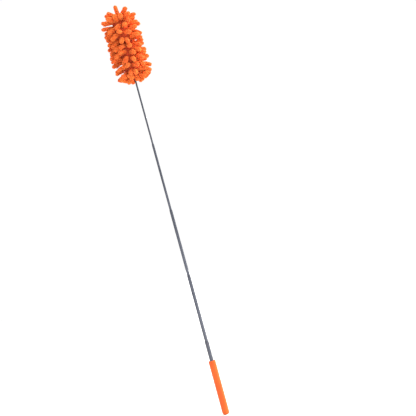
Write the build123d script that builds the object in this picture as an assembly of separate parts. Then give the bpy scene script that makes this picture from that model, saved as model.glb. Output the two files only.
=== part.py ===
"""Telescopic duster: a chenille head on a five-section steel pole with a soft moulded grip.

Units are millimetres. +Z runs up the pole, from the grip to the head, and the origin is the centre of
the grip's flat end. The pole is drawn fully out. Sections are numbered from the grip, 1 to 5: section 1
is fixed in the grip, and each later one slides and turns in the one before it.
"""

import os
from math import cos, radians, sin, sqrt

from build123d import *

# Gaps that are left between pieces, on the radius or along the pole.
RUN_GAP = 0.05
SEAT_GAP = 0.02
END_GAP = 0.1
BOTTOM_GAP = 0.3

# Grip: a soft sleeve with a closed, rounded end.
GRIP_LENGTH = 98.0
GRIP_RADIUS = 6.3
GRIP_END_ROUND = 3.6
GRIP_MOUTH_ROUND = 0.9
GRIP_FLOOR = 2.0

# Pole: thin steel tubes, each rolled in at its mouth.
SECTIONS = (1, 2, 3, 4, 5)
SLIDING = SECTIONS[1:]
FIRST_RADIUS = 3.5
TUBE_WALL = 0.25
SPRING_THICK = 0.15
FIRST_EXPOSED = 36.0
SECTION_EXPOSED = 120.5
MOUTH_LENGTH = 2.2
MOUTH_TAPER = 0.9

# Fittings at the inner end of a sliding section.
STOP_RING_HEIGHT = 1.2
SPRING_HEIGHT = 5.2
SPRING_LEAVES = 2
SPRING_LEAF_ARC = 150.0
FLANGE_HEIGHT = 0.6
SPIGOT_HEIGHT = 1.5
PLUG_HEIGHT = 4.0

# Head: socket, wire, tip cap and foam.
SOCKET_RADIUS = 4.6
SOCKET_HEIGHT = 24.0
SOCKET_FLANGE_RADIUS = 6.5
SOCKET_FLANGE_HEIGHT = 1.6
SOCKET_ROUND = 1.0
ROD_DEPTH = 14.0
WIRE_RADIUS = 1.25
WIRE_DEPTH = 8.0
WIRE_INTO_TIP = 6.0
FOAM_GAP = 0.2

# Head cover: a fabric sleeve that is drawn in round the socket by an elastic, and domed at its far end.
SLEEVE_RADIUS = 13.6
SLEEVE_THICK = 0.9
SLEEVE_FOOT_ROUND = 6.0
SLEEVE_LENGTH = 110.0
ELASTIC_RADIUS = 0.9

# Chenille: noodles in rows along the sleeve, each row on a woven tape, and a crown on the dome.
ROWS = 12
ROW_PHASE = 19.0
NOODLE_RADIUS = 3.4
NOODLE_LENGTH = 22.0
NOODLE_PITCH = 11.9
FIRST_NOODLE = 10.0
LAST_NOODLE = 3.2
DOME_NOODLE_ANGLE = 26.0
FOOT_NOODLE_ANGLE = -35.0
INNER_NOODLE_ANGLE = -66.0
INNER_NOODLE_LENGTH = 11.5
TAPE_THICK = 0.6
TAPE_ARC = 16.0
TAPE_TOP_ANGLE = 38.0
TAPE_FOOT_ANGLE = -75.0
CROWN_NOODLES = 5
CROWN_ANGLE = 58.0
CROWN_CAP_ANGLE = 44.0

# Sizes and heights that follow from the values above.
RADIUS_STEP = TUBE_WALL + SPRING_THICK + 2 * RUN_GAP
OVERLAP = (
    MOUTH_LENGTH + END_GAP + STOP_RING_HEIGHT + END_GAP + SPRING_HEIGHT + END_GAP + FLANGE_HEIGHT
)
FIRST_MOUTH = GRIP_LENGTH + FIRST_EXPOSED
SOCKET_FOOT = FIRST_MOUTH + SECTION_EXPOSED * (len(SECTIONS) - 1)
SLEEVE_FOOT = SOCKET_FOOT + SOCKET_FLANGE_HEIGHT + 0.4
ELASTIC_RING_RADIUS = SOCKET_RADIUS + RUN_GAP + ELASTIC_RADIUS
ELASTIC_HEIGHT = SOCKET_FOOT + SOCKET_FLANGE_HEIGHT + RUN_GAP + ELASTIC_RADIUS
SLEEVE_MOUTH_RADIUS = ELASTIC_RING_RADIUS + ELASTIC_RADIUS + RUN_GAP
DOME_CENTRE = SLEEVE_FOOT + SLEEVE_LENGTH - SLEEVE_RADIUS
FOOT_CENTRE = SLEEVE_FOOT + SLEEVE_FOOT_ROUND
FOAM_TOP = DOME_CENTRE + 1.5
ROW_STEP = 360 / ROWS
ROW_LOW = SLEEVE_FOOT + FIRST_NOODLE
ROW_HIGH = DOME_CENTRE - LAST_NOODLE
ROW_GAPS = round((ROW_HIGH - ROW_LOW) / NOODLE_PITCH)
ROW_PITCH = (ROW_HIGH - ROW_LOW) / ROW_GAPS


def tube_radius(section):
    """Outer radius of a section's tube."""
    return FIRST_RADIUS - (section - 1) * RADIUS_STEP


def bore_radius(section):
    """Inner radius of a section's tube."""
    return tube_radius(section) - TUBE_WALL


def mouth_height(section):
    """Height of a section's far end, where the next section comes out."""
    return FIRST_MOUTH + (section - 1) * SECTION_EXPOSED


def base_height(section):
    """Height of the lowest point of a sliding section's end bush."""
    return mouth_height(section - 1) - OVERLAP


def travel(section):
    """How far a sliding section goes in before it meets the plug or bush below it."""
    if section == 2:
        floor = GRIP_FLOOR + PLUG_HEIGHT
    else:
        floor = base_height(section - 1) + FLANGE_HEIGHT + SPIGOT_HEIGHT
    return base_height(section) - floor - BOTTOM_GAP


def turned(edges, arc=360.0, start=0.0):
    """Solid of revolution about the pole, from edges drawn as (radius, height)."""
    profile = Plane.XZ * make_face(edges)
    return Rot(0, 0, start) * revolve(profile, Axis.Z, revolution_arc=arc)


def turned_outline(points, arc=360.0, start=0.0):
    """Solid of revolution about the pole, from straight runs between (radius, height) points."""
    return turned(Polyline(*points, close=True).edges(), arc, start)


def ring(inner, outer, low, high):
    """Flat-ended ring round the pole, or a disc if the inner radius is zero."""
    return turned_outline([(inner, low), (outer, low), (outer, high), (inner, high)])


def on_arc(centre, radius, angle):
    """Point on a circle drawn in (radius, height), with the angle above the horizontal in degrees."""
    return (centre[0] + radius * cos(radians(angle)), centre[1] + radius * sin(radians(angle)))


def make_grip():
    """Sleeve with a closed, rounded end and a blind bore for the first tube."""
    body = ring(0, GRIP_RADIUS, 0, GRIP_LENGTH)
    body = fillet(body.edges().group_by(Axis.Z)[0], GRIP_END_ROUND)
    body = fillet(body.edges().group_by(Axis.Z)[-1], GRIP_MOUTH_ROUND)
    bore = ring(0, FIRST_RADIUS + SEAT_GAP, GRIP_FLOOR, GRIP_LENGTH + 1)
    return body - bore


def make_tube(section, low, high):
    """Thin tube with its mouth rolled in to guide the next section."""
    outer, inner = tube_radius(section), bore_radius(section)
    neck_inner = tube_radius(section + 1) + RUN_GAP
    neck_outer = neck_inner + TUBE_WALL
    shoulder = high - MOUTH_LENGTH
    neck = shoulder + MOUTH_TAPER
    return turned_outline(
        [
            (inner, low),
            (outer, low),
            (outer, shoulder),
            (neck_outer, neck),
            (neck_outer, high),
            (neck_inner, high),
            (neck_inner, neck),
            (inner, shoulder),
        ]
    )


def make_rod():
    """Last section: a plain tube that runs up into the head's socket."""
    low = base_height(SECTIONS[-1]) + FLANGE_HEIGHT
    return ring(bore_radius(5), tube_radius(5), low, SOCKET_FOOT + ROD_DEPTH)


def make_foot_plug():
    """Plug that closes the first tube inside the grip and stops the sections that slide in."""
    return ring(0, bore_radius(1) - SEAT_GAP, GRIP_FLOOR, GRIP_FLOOR + PLUG_HEIGHT)


def make_end_bush(section):
    """Stepped plug in a sliding tube's inner end: its flange runs in the tube outside."""
    low = base_height(section)
    step = low + FLANGE_HEIGHT
    flange = bore_radius(section - 1) - RUN_GAP
    spigot = bore_radius(section) - SEAT_GAP
    return turned_outline(
        [
            (0, low),
            (flange, low),
            (flange, step),
            (spigot, step),
            (spigot, step + SPIGOT_HEIGHT),
            (0, step + SPIGOT_HEIGHT),
        ]
    )


def make_stop_ring(section):
    """Ring crimped round a sliding tube, which meets the rolled mouth when the section is full out."""
    high = mouth_height(section - 1) - MOUTH_LENGTH - END_GAP
    inner = tube_radius(section) + SEAT_GAP
    outer = bore_radius(section - 1) - RUN_GAP
    return ring(inner, outer, high - STOP_RING_HEIGHT, high)


def make_friction_spring(section):
    """Curved leaves between the stop ring and the bush, which rub on the tube outside."""
    low = base_height(section) + FLANGE_HEIGHT + END_GAP
    inner = tube_radius(section) + RUN_GAP
    outer = inner + SPRING_THICK
    outline = [
        (inner, low),
        (outer, low),
        (outer, low + SPRING_HEIGHT),
        (inner, low + SPRING_HEIGHT),
    ]
    spacing = 360 / SPRING_LEAVES
    return [turned_outline(outline, SPRING_LEAF_ARC, leaf * spacing) for leaf in range(SPRING_LEAVES)]


def make_head_socket():
    """Flanged plug with a blind bore for the rod below and one for the core wire above."""
    top = SOCKET_FOOT + SOCKET_HEIGHT
    body = ring(0, SOCKET_RADIUS, SOCKET_FOOT, top)
    body = fillet(body.edges().group_by(Axis.Z)[-1], SOCKET_ROUND)
    flange_top = SOCKET_FOOT + SOCKET_FLANGE_HEIGHT
    body += ring(0, SOCKET_FLANGE_RADIUS, SOCKET_FOOT, flange_top)
    body -= ring(0, tube_radius(5) + SEAT_GAP, SOCKET_FOOT - 1, SOCKET_FOOT + ROD_DEPTH)
    return body - ring(0, WIRE_RADIUS + SEAT_GAP, top - WIRE_DEPTH, top + 1)


def make_core_wire():
    """Straight wire down the middle of the foam, from the socket to the tip cap."""
    low = SOCKET_FOOT + SOCKET_HEIGHT - WIRE_DEPTH
    return ring(0, WIRE_RADIUS, low, FOAM_TOP + WIRE_INTO_TIP)


def make_core_tip():
    """Domed cap on the wire's end, which keeps it from poking through the sleeve."""
    radius = SLEEVE_RADIUS - SLEEVE_THICK - FOAM_GAP
    edge = sqrt(radius**2 - (FOAM_TOP - DOME_CENTRE) ** 2)
    crown = (0, DOME_CENTRE + radius)
    middle = on_arc((0, DOME_CENTRE), radius, 50)
    edges = [
        Line((0, FOAM_TOP), (edge, FOAM_TOP)),
        ThreePointArc((edge, FOAM_TOP), middle, crown),
        Line(crown, (0, FOAM_TOP)),
    ]
    bore = ring(0, WIRE_RADIUS + SEAT_GAP, FOAM_TOP - 1, FOAM_TOP + WIRE_INTO_TIP + SEAT_GAP)
    return turned(edges) - bore


def make_foam_core():
    """Foam roll round the socket and the wire, which gives the head its bulk."""
    gap = SLEEVE_THICK + FOAM_GAP
    radius = SLEEVE_RADIUS - gap
    foot = ELASTIC_HEIGHT + ELASTIC_RADIUS + FOAM_GAP
    foot_round = SLEEVE_FOOT_ROUND - gap
    body = ring(0, radius, foot, FOAM_TOP)
    body = fillet(body.edges().group_by(Axis.Z)[0], foot_round)
    body -= ring(0, SOCKET_RADIUS + RUN_GAP, foot - 1, SOCKET_FOOT + SOCKET_HEIGHT + RUN_GAP)
    return body - ring(0, WIRE_RADIUS + RUN_GAP, foot, FOAM_TOP + 1)


def cover_band(inner, outer, low_angle, high_angle, arc=360.0, start=0.0):
    """Band of the head cover between two offsets from the sleeve, from its foot round to its dome."""
    foot = (SLEEVE_RADIUS - SLEEVE_FOOT_ROUND, FOOT_CENTRE)
    dome = (0, DOME_CENTRE)
    foot_in, foot_out = SLEEVE_FOOT_ROUND + inner, SLEEVE_FOOT_ROUND + outer
    dome_in, dome_out = SLEEVE_RADIUS + inner, SLEEVE_RADIUS + outer
    sweep = -low_angle
    edges = [
        Line(on_arc(foot, foot_in, low_angle), on_arc(foot, foot_out, low_angle)),
        CenterArc(foot, foot_out, low_angle, sweep),
        Line((dome_out, FOOT_CENTRE), (dome_out, DOME_CENTRE)),
        CenterArc(dome, dome_out, 0, high_angle),
        Line(on_arc(dome, dome_out, high_angle), on_arc(dome, dome_in, high_angle)),
        CenterArc(dome, dome_in, 0, high_angle),
        Line((dome_in, DOME_CENTRE), (dome_in, FOOT_CENTRE)),
        CenterArc(foot, foot_in, low_angle, sweep),
    ]
    return turned(edges, arc, start)


def make_backing_sleeve():
    """Fabric sleeve over the foam, with its open end turned in to the elastic."""
    sleeve = cover_band(-SLEEVE_THICK, 0, -90, 90)
    skirt = ring(
        SLEEVE_MOUTH_RADIUS,
        SLEEVE_RADIUS - SLEEVE_FOOT_ROUND,
        SLEEVE_FOOT,
        SLEEVE_FOOT + SLEEVE_THICK,
    )
    return sleeve + skirt


def make_hem_elastic():
    """Elastic ring in the socket's groove, which draws the sleeve's open end in."""
    return Pos(0, 0, ELASTIC_HEIGHT) * Torus(ELASTIC_RING_RADIUS, ELASTIC_RADIUS)


def noodle(place, angle, length, azimuth):
    """One chenille noodle: a rod with a round tip, from a (radius, height) point and leaning up by angle."""
    straight = length - NOODLE_RADIUS
    edges = [
        Line((0, 0), (NOODLE_RADIUS, 0)),
        Line((NOODLE_RADIUS, 0), (NOODLE_RADIUS, straight)),
        CenterArc((0, straight), NOODLE_RADIUS, 0, 90),
        Line((0, length), (0, 0)),
    ]
    return Rot(0, 0, azimuth) * Pos(place[0], 0, place[1]) * Rot(0, 90 - angle, 0) * turned(edges)


def foot_place(angle):
    """Where a noodle that leans down by angle leaves the sleeve's rounded foot."""
    foot = (SLEEVE_RADIUS - SLEEVE_FOOT_ROUND, FOOT_CENTRE)
    return on_arc(foot, SLEEVE_FOOT_ROUND + SEAT_GAP, angle)


def dome_place(angle):
    """Where a noodle that leans up by angle leaves the sleeve's dome."""
    return on_arc((0, DOME_CENTRE), SLEEVE_RADIUS + SEAT_GAP, angle)


def row_noodles(row):
    """The noodles of one row as (place, angle, length), with every second row half a pitch lower."""
    side = SLEEVE_RADIUS + SEAT_GAP
    low = ROW_LOW
    count = ROW_GAPS + 1
    if row % 2 == 0:
        ends = [
            (foot_place(FOOT_NOODLE_ANGLE), FOOT_NOODLE_ANGLE, NOODLE_LENGTH),
            (dome_place(DOME_NOODLE_ANGLE), DOME_NOODLE_ANGLE, NOODLE_LENGTH),
        ]
    else:
        low -= ROW_PITCH / 2
        count += 1
        ends = [(foot_place(INNER_NOODLE_ANGLE), INNER_NOODLE_ANGLE, INNER_NOODLE_LENGTH)]
    return [((side, low + k * ROW_PITCH), 0, NOODLE_LENGTH) for k in range(count)] + ends


def make_chenille_row(row):
    """One tape up the side of the sleeve with its noodles."""
    azimuth = ROW_PHASE + row * ROW_STEP
    tape = cover_band(
        SEAT_GAP,
        SEAT_GAP + TAPE_THICK,
        TAPE_FOOT_ANGLE,
        TAPE_TOP_ANGLE,
        TAPE_ARC,
        azimuth - TAPE_ARC / 2,
    )
    rods = [noodle(place, angle, length, azimuth) for place, angle, length in row_noodles(row)]
    return tape.fuse(*rods)


def make_chenille_crown():
    """Round patch on the dome with the noodles that close the head's far end."""
    dome = (0, DOME_CENTRE)
    low, high = SLEEVE_RADIUS + SEAT_GAP, SLEEVE_RADIUS + SEAT_GAP + TAPE_THICK
    start = 90 - CROWN_CAP_ANGLE
    edges = [
        Line(on_arc(dome, low, start), on_arc(dome, high, start)),
        CenterArc(dome, high, start, CROWN_CAP_ANGLE),
        Line(on_arc(dome, high, 90), on_arc(dome, low, 90)),
        CenterArc(dome, low, start, CROWN_CAP_ANGLE),
    ]
    spacing = 360 / CROWN_NOODLES
    rods = [
        noodle(dome_place(CROWN_ANGLE), CROWN_ANGLE, NOODLE_LENGTH, ROW_PHASE + k * spacing)
        for k in range(CROWN_NOODLES)
    ]
    rods.append(noodle(dome_place(90), 90, NOODLE_LENGTH, 0))
    return turned(edges).fuse(*rods)


def make_parts():
    """Every piece by its node's name."""
    parts = {
        "grip": make_grip(),
        "foot_plug": make_foot_plug(),
        "outer_tube": make_tube(1, GRIP_FLOOR, mouth_height(1)),
        "rod_5": make_rod(),
        "head_socket": make_head_socket(),
        "core_wire": make_core_wire(),
        "core_tip": make_core_tip(),
        "foam_core": make_foam_core(),
        "backing_sleeve": make_backing_sleeve(),
        "hem_elastic": make_hem_elastic(),
        "chenille_crown": make_chenille_crown(),
    }
    for section in SLIDING[:-1]:
        low = base_height(section) + FLANGE_HEIGHT
        parts[f"tube_{section}"] = make_tube(section, low, mouth_height(section))
    for section in SLIDING:
        parts[f"end_bush_{section}"] = make_end_bush(section)
        parts[f"stop_ring_{section}"] = make_stop_ring(section)
        parts[f"friction_spring_{section}"] = Compound(children=make_friction_spring(section))
    for row in range(ROWS):
        parts[f"chenille_row_{row + 1:02d}"] = make_chenille_row(row)
    return parts


os.makedirs("parts", exist_ok=True)
for name, shape in make_parts().items():
    export_step(shape, f"parts/{name}.step")
for section in SLIDING:
    print(f"section {section}: radius {tube_radius(section):.3f}, travel {travel(section):.2f} mm")
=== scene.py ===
"""The looks of a telescopic chenille duster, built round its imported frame.

Metres, +Z up the pole from the grip to the head, with the origin at the centre of the grip's flat end.
"""

import logging
from dataclasses import dataclass, field
from enum import Enum
from math import asin, cos, degrees, pi, radians, sin, sqrt, tau
from typing import Any, Iterable, Optional, Sequence

import bmesh
import bpy
import numpy as np
from mathutils import Matrix, Vector


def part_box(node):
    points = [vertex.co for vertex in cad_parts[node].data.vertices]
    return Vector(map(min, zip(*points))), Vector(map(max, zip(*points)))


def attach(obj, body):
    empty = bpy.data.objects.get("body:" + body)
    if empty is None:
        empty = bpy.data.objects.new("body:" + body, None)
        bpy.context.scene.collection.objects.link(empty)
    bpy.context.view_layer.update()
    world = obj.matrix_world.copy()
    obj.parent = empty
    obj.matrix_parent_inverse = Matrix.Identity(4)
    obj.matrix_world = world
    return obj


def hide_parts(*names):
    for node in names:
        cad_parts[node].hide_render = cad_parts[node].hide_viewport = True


LOG = logging.getLogger("duster")
MM = 0.001

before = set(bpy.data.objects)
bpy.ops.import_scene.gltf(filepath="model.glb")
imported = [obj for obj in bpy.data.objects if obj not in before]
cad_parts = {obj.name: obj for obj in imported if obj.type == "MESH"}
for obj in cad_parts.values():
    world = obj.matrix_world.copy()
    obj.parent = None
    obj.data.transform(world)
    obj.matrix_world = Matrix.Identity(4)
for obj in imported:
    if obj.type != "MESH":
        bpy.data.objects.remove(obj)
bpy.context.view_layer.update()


# ---------------------------------------------------------------------------------------------------
# Small helpers
# ---------------------------------------------------------------------------------------------------


def linear(colour: str) -> tuple[float, float, float, float]:
    """Turns an sRGB hex colour to linear.

    Args:
        colour: Six hex digits.

    Returns:
        Red, green, blue and an alpha of one.
    """
    channels = [int(colour[k : k + 2], 16) / 255 for k in (0, 2, 4)]
    red, green, blue = (c / 12.92 if c <= 0.04045 else ((c + 0.055) / 1.055) ** 2.4 for c in channels)
    return (red, green, blue, 1.0)


def add_node(
    tree: bpy.types.NodeTree,
    kind: str,
    inputs: Optional[dict] = None,
    **settings: Any,
) -> bpy.types.Node:
    """Adds one node with its settings and links.

    Args:
        tree: The tree that the node goes in.
        kind: The node's type name.
        inputs: Socket name or number to its value, or to the output that feeds it.
        **settings: The node's own properties.

    Returns:
        The new node.
    """
    node = tree.nodes.new(kind)
    for key, value in settings.items():
        setattr(node, key, value)
    for socket, value in (inputs or {}).items():
        if isinstance(value, bpy.types.NodeSocket):
            tree.links.new(value, node.inputs[socket])
        else:
            node.inputs[socket].default_value = value
    return node


def new_piece(name: str, mesh: bpy.types.Mesh, *materials: bpy.types.Material) -> bpy.types.Object:
    """Links a mesh as a piece at the origin, with its materials."""
    piece = bpy.data.objects.new(name, mesh)
    for material in materials:
        mesh.materials.append(material)
    bpy.context.scene.collection.objects.link(piece)
    return piece


def lathe(
    name: str,
    outline: Sequence[tuple[float, float]],
    sides: int,
    closed: bool = True,
    ripple: Any = None,
) -> bpy.types.Mesh:
    """Turns an outline about the pole.

    Args:
        name: The mesh's name.
        outline: (radius, height) points, in the order that makes faces point outwards.
        sides: Number of steps round the pole.
        closed: Whether the outline's last point joins its first.
        ripple: Optional function of (angle, radius, height) that returns a changed radius.

    Returns:
        The mesh, with a UV map in metres along the outline and round the pole.
    """
    form = bmesh.new()
    uv = form.loops.layers.uv.new("run")
    rings: list[list[bmesh.types.BMVert]] = []
    for radius, height in outline:
        if radius < 1e-7:
            rings.append([form.verts.new((0, 0, height))])
            continue
        ring = []
        for k in range(sides):
            angle = tau * k / sides
            reach = ripple(angle, radius, height) if ripple else radius
            ring.append(form.verts.new((reach * cos(angle), reach * sin(angle), height)))
        rings.append(ring)
    lengths = [0.0]
    for (r0, z0), (r1, z1) in zip(outline, outline[1:]):
        lengths.append(lengths[-1] + sqrt((r1 - r0) ** 2 + (z1 - z0) ** 2))
    widest = max(r for r, _ in outline)
    pairs = list(zip(range(len(rings) - 1), range(1, len(rings))))
    if closed:
        pairs.append((len(rings) - 1, 0))
    for low, high in pairs:
        a, b = rings[low], rings[high]
        if len(a) == 1 and len(b) == 1:
            continue
        for k in range(sides):
            n = (k + 1) % sides
            corners = [a[k % len(a)], a[n % len(a)], b[n % len(b)], b[k % len(b)]]
            turns = [k, k + 1, k + 1, k]
            runs = [lengths[low], lengths[low], lengths[high], lengths[high]]
            kept = [i for i, v in enumerate(corners) if v not in corners[:i]]
            face = form.faces.new([corners[i] for i in kept])
            face.smooth = True
            for loop, i in zip(face.loops, kept):
                loop[uv].uv = (tau * widest * turns[i] / sides, runs[i])
    mesh = bpy.data.meshes.new(name)
    form.to_mesh(mesh)
    form.free()
    return mesh


def rounded(points: Sequence[tuple[float, float, float]], steps: int = 5) -> list[tuple[float, float]]:
    """Rounds the corners of a closed outline.

    Args:
        points: (radius, height, corner radius) of each corner, with 0 for a sharp one.
        steps: Points along each rounded corner, less one.

    Returns:
        The outline's (radius, height) points.
    """
    outline: list[tuple[float, float]] = []
    count = len(points)
    for k, (x, z, cut) in enumerate(points):
        here = Vector((x, z))
        if cut <= 0:
            outline.append((x, z))
            continue
        back = Vector(points[k - 1][:2]) - here
        ahead = Vector(points[(k + 1) % count][:2]) - here
        start = here + back.normalized() * cut
        end = here + ahead.normalized() * cut
        for step in range(steps + 1):
            t = step / steps
            spot = start * (1 - t) ** 2 + here * 2 * t * (1 - t) + end * t**2
            outline.append((spot.x, spot.y))
    return outline


def arc(
    centre: tuple[float, float],
    size: float,
    start: float,
    end: float,
    steps: int,
) -> list[tuple[float, float]]:
    """Points along an arc of an outline.

    Args:
        centre: The arc's centre, as radius and height.
        size: The arc's own radius.
        start: Its first angle, in degrees above the horizontal.
        end: Its last angle.
        steps: Number of steps between them.

    Returns:
        The (radius, height) points.
    """
    turns = [radians(start + (end - start) * k / steps) for k in range(steps + 1)]
    return [(centre[0] + size * cos(turn), centre[1] + size * sin(turn)) for turn in turns]


def grown(
    name: str,
    seed_mesh: bpy.types.Mesh,
    tree: bpy.types.NodeTree,
    inputs: dict[str, Any],
) -> bpy.types.Object:
    """Runs a Geometry Nodes tree on a mesh and keeps the result as a plain mesh.

    Args:
        name: The piece's name.
        seed_mesh: What the tree starts from.
        tree: The tree.
        inputs: The tree's input names to their values.

    Returns:
        The piece, with no modifier left on it.
    """
    piece = bpy.data.objects.new(name, seed_mesh)
    bpy.context.scene.collection.objects.link(piece)
    modifier = piece.modifiers.new("grow", "NODES")
    modifier.node_group = tree
    sockets = {s.name: s.identifier for s in tree.interface.items_tree if s.in_out == "INPUT"}
    for key, value in inputs.items():
        modifier[sockets[key]] = value
    bpy.context.view_layer.update()
    ready = piece.evaluated_get(bpy.context.evaluated_depsgraph_get())
    mesh = bpy.data.meshes.new_from_object(ready)
    mesh.name = name
    piece.modifiers.clear()
    piece.data = mesh
    return piece


# ---------------------------------------------------------------------------------------------------
# Finishes
# ---------------------------------------------------------------------------------------------------

# Most of a noise pattern lies in this part of its range.
MIDDLE = {"From Min": 0.35, "From Max": 0.65}


class Metal(Enum):
    """The metals of the pole and its fittings: base colour, second tone, roughness."""

    TUBE_STEEL = ("5C5F69", "686B76", 0.3)
    WIRE_STEEL = ("7C7E83", "8C8E92", 0.35)
    TURNED_BRASS = ("B48A3E", "C9A45C", 0.3)
    SPRING_BRONZE = ("A86E3C", "BE8852", 0.34)


class Moulding(Enum):
    """The mouldings: base colour, second tone, roughness."""

    GRIP_VINYL = ("DC581C", "E2641F", 0.44)
    SOCKET_PLASTIC = ("E2602F", "EA6C3A", 0.4)
    PLUG_NYLON = ("D3CDBD", "DDD8CA", 0.5)


def new_material(name: str) -> tuple[bpy.types.Material, bpy.types.NodeTree]:
    """Makes a material with an empty tree."""
    material = bpy.data.materials.new(name)
    material.use_nodes = True
    material.node_tree.nodes.clear()
    return material, material.node_tree


def close_material(tree: bpy.types.NodeTree, surface: dict[str, Any]) -> None:
    """Ends a material's tree with its shader, given what goes in each of the shader's inputs."""
    shader = add_node(tree, "ShaderNodeBsdfPrincipled", surface)
    add_node(tree, "ShaderNodeOutputMaterial", {"Surface": shader.outputs["BSDF"]})


def two_tone(
    tree: bpy.types.NodeTree,
    share: bpy.types.NodeSocket,
    tones: tuple[str, str],
    relief: bpy.types.NodeSocket,
    depth: float,
    surface: dict[str, Any],
) -> None:
    """Ends the tree of a material that has two tones and a fine relief.

    Args:
        tree: The material's tree.
        share: How much of the second tone shows.
        tones: The two tones.
        relief: The pattern of heights.
        depth: The relief's depth in metres.
        surface: What goes in the shader's other inputs.
    """
    first, second = (linear(tone) for tone in tones)
    colour = add_node(tree, "ShaderNodeMix", {0: share, 6: first, 7: second}, data_type="RGBA").outputs[2]
    bump = add_node(tree, "ShaderNodeBump", {"Height": relief, "Distance": depth, "Strength": 1.0})
    close_material(tree, surface | {"Base Color": colour, "Normal": bump.outputs["Normal"]})


def object_place(tree: bpy.types.NodeTree, scale: tuple[float, float, float]) -> bpy.types.NodeSocket:
    """Object coordinates, scaled along each axis."""
    place = add_node(tree, "ShaderNodeTexCoord").outputs["Object"]
    return add_node(tree, "ShaderNodeMapping", {"Vector": place, "Scale": scale}).outputs["Vector"]


@dataclass(frozen=True)
class DrawnMetal:
    """Drawn or turned metal. Drawing leaves fine lines along the tube, which stretch its highlights."""

    metal: Metal
    line_width: float = 0.6 * MM
    line_length: float = 40 * MM
    line_depth: float = 0.002 * MM
    haze_size: float = 9 * MM
    edge: str = "202226"
    round_lines: bool = False

    def make(self) -> bpy.types.Material:
        """Builds the material."""
        dark, light, roughness = self.metal.value
        material, tree = new_material(self.metal.name.lower())
        across, along = 1 / self.line_width, 1 / self.line_length
        scale = (along, along, across) if self.round_lines else (across, across, along)
        lines, haze = (
            add_node(
                tree,
                "ShaderNodeTexNoise",
                {"Vector": object_place(tree, stretch), "Scale": fine, "Detail": detail},
            ).outputs["Fac"]
            for stretch, fine, detail in ((scale, 1.0, 2.0), ((1, 1, 0.35), 1 / self.haze_size, 3.0))
        )
        tone, fine_shine, hazy_shine = (
            add_node(tree, "ShaderNodeMapRange", {"Value": source, "To Min": low, "To Max": high} | MIDDLE)
            for source, low, high in (
                (lines, 0.0, 1.0),
                (lines, roughness - 0.04, roughness + 0.05),
                (haze, -0.03, 0.06),
            )
        )
        shine = add_node(tree, "ShaderNodeMath", {0: fine_shine.outputs[0], 1: hazy_shine.outputs[0]})
        surface = {"Roughness": shine.outputs[0], "Metallic": 1.0, "Specular Tint": linear(self.edge)}
        two_tone(tree, tone.outputs[0], (dark, light), lines, self.line_depth, surface)
        return material


@dataclass(frozen=True)
class SatinMoulding:
    """Injection-moulded plastic. The eroded mould leaves an even satin grain, which hands polish a little."""

    moulding: Moulding
    grain: float = 0.45 * MM
    grain_depth: float = 0.014 * MM
    cloud: float = 14 * MM

    def make(self) -> bpy.types.Material:
        """Builds the material."""
        dark, light, roughness = self.moulding.value
        material, tree = new_material(self.moulding.name.lower())
        grain, clouds = (
            add_node(
                tree,
                "ShaderNodeTexNoise",
                {"Vector": object_place(tree, stretch), "Scale": 1 / size, "Detail": detail},
            ).outputs["Fac"]
            for stretch, size, detail in (((1, 1, 1), self.grain, 2.0), ((1, 1, 0.4), self.cloud, 3.0))
        )
        tone, shine = (
            add_node(tree, "ShaderNodeMapRange", {"Value": clouds, "To Min": low, "To Max": high} | MIDDLE)
            for low, high in ((0.0, 1.0), (roughness - 0.06, roughness + 0.06))
        )
        surface = {"Roughness": shine.outputs[0], "IOR": 1.53, "Specular IOR Level": 0.3}
        two_tone(tree, tone.outputs[0], (dark, light), grain, self.grain_depth, surface)
        return material


@dataclass(frozen=True)
class ChenillePile:
    """Cut polyester microfibre pile: painted shade in the hollows of its yarn and towards each finger's root,
    a painted highlight on the tuft tips, and a soft sheen.
    """

    # The deep colour is painted shade, laid into the hollows of the yarn relief and towards each finger's
    # root.
    deep: str = "E65528"
    body: str = "FC6B32"
    pale: str = "FF823A"
    # The tip colour is a painted highlight on the upper end of each tuft.
    tip: str = "FF9E4C"
    sheen: str = "FFBC78"
    yarn_width: float = 1.3 * MM
    yarn_depth: float = 0.35 * MM

    def make(self) -> bpy.types.Material:
        """Builds the material."""
        material, tree = new_material("microfibre_chenille_pile")
        tint, along, tip = (
            add_node(tree, "ShaderNodeAttribute", attribute_name=name).outputs["Fac"]
            for name in ("tint", "along", "tip")
        )
        yarn = add_node(
            tree,
            "ShaderNodeTexNoise",
            {"Vector": object_place(tree, (1, 1, 1)), "Scale": 1 / self.yarn_width, "Detail": 3.0},
        ).outputs["Fac"]
        colour = add_node(
            tree,
            "ShaderNodeMix",
            {0: tint, 6: linear(self.body), 7: linear(self.pale)},
            data_type="RGBA",
        )
        # The layers below paint shade into the yarn's hollows, paint shade towards each finger's root, and
        # paint a highlight on each tuft's upper end.
        # Each layer: its pattern, the part of the pattern it uses, its strength at both ends, its colour.
        for source, start, end, low, high, layer in (
            (yarn, 0.3, 0.55, 0.3, 0.0, self.deep),
            (along, 0.0, 0.4, 0.45, 0.0, self.deep),
            (tip, 0.2, 1.0, 0.0, 0.45, self.tip),
        ):
            share = add_node(
                tree,
                "ShaderNodeMapRange",
                {"Value": source, "From Min": start, "From Max": end, "To Min": low, "To Max": high},
            )
            colour = add_node(
                tree,
                "ShaderNodeMix",
                {0: share.outputs[0], 6: colour.outputs[2], 7: linear(layer)},
                data_type="RGBA",
            )
        relief = {"Height": yarn, "Distance": self.yarn_depth, "Strength": 0.6}
        bump = add_node(tree, "ShaderNodeBump", relief)
        surface = {
            "Base Color": colour.outputs[2],
            "Roughness": 0.9,
            "Specular IOR Level": 0.2,
            "Sheen Weight": 1.0,
            "Sheen Roughness": 0.35,
            "Sheen Tint": linear(self.sheen),
            "Normal": bump.outputs["Normal"],
        }
        close_material(tree, surface)
        return material


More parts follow.
